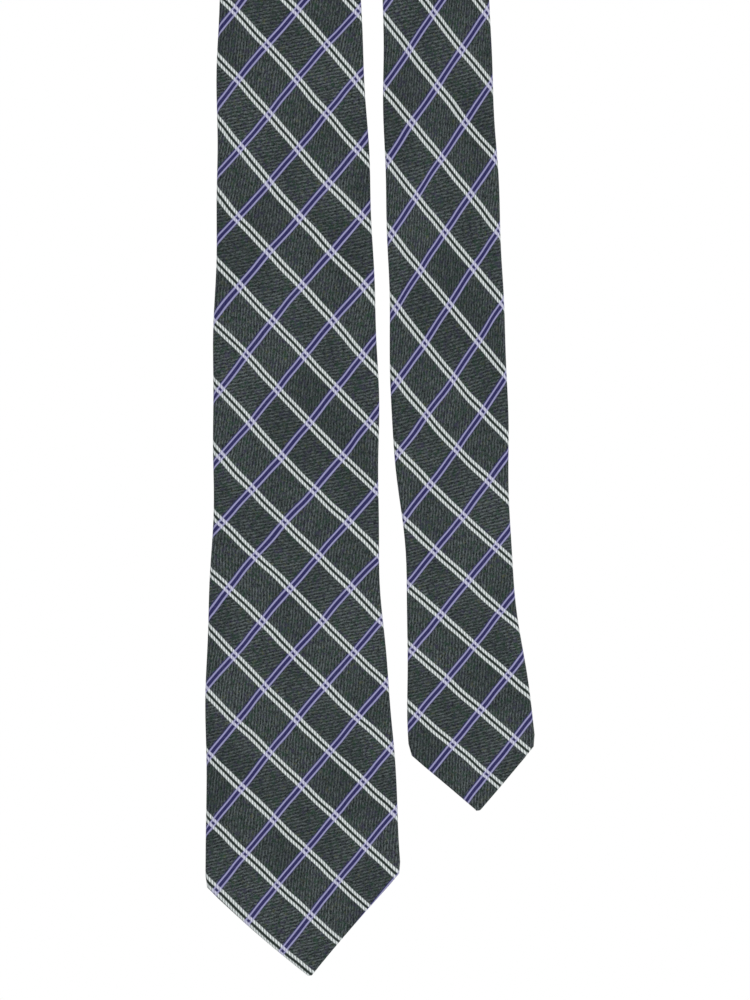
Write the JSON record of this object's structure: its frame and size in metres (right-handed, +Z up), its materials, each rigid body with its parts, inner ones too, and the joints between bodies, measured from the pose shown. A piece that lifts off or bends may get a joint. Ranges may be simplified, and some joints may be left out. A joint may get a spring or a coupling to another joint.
{
  "type": "necktie",
  "caption": "Long bias-cut necktie with a windowpane check, a wide blade and a narrow tail, hanging by its neck over a peg, its front forwards.",
  "frame": {"origin": "the top of the peg that the tie hangs over, where the neck's back face rests on it", "axes": "+Z up, along the hanging legs; the front of the tie faces -Y; the wide blade hangs on the -X side"},
  "size_m": [0.1404, 0.045, 0.7558],
  "materials": {
    "shell_silk": "heathered twill with cream and lilac windowpane lines",
    "interlining_wool": "brushed wool",
    "tipping_satin": "satin",
    "sewing_thread": "twisted thread",
    "label_damask": "woven damask, blank",
    "care_label_satin": "printed-label satin, blank"
  },
  "bodies": {
    "neck": {"neck_shell": "shell_silk", "neck_interlining": "interlining_wool", "neck_slip_stitch": "sewing_thread"},
    "blade": {"blade_shell": "shell_silk", "blade_interlining": "interlining_wool", "blade_tipping": "tipping_satin", "blade_slip_stitch": "sewing_thread", "slip_stitch_reserve": "sewing_thread", "blade_bar_tack": "sewing_thread", "keeper_loop": "shell_silk", "keeper_tack_left": "sewing_thread", "keeper_tack_right": "sewing_thread", "maker_label": "label_damask", "label_stitch_left": "sewing_thread", "label_stitch_right": "sewing_thread"},
    "tail": {"tail_shell": "shell_silk", "tail_interlining": "interlining_wool", "tail_tipping": "tipping_satin", "tail_slip_stitch": "sewing_thread", "tail_bar_tack": "sewing_thread", "care_label_stitch": "sewing_thread"},
    "care_tab": {"care_label": "care_label_satin"}
  },
  "joints": [
    {"name": "blade_swing", "type": "hinge", "parent": "neck", "child": "blade", "pos_m": [-0.0323, 0, -0.062], "axis": [0, 1, 0], "range_deg": [0, 110]},
    {"name": "tail_fold", "type": "hinge", "parent": "neck", "child": "tail", "pos_m": [0.03015, -0.00215, -0.278], "axis": [-1, 0, 0], "range_deg": [0, 120]},
    {"name": "care_label_flip", "type": "hinge", "parent": "tail", "child": "care_tab", "pos_m": [0.03742, 0.00245, -0.53485], "axis": [0.9981, 0, 0.0613], "range_deg": [0, 120]}
  ]
}
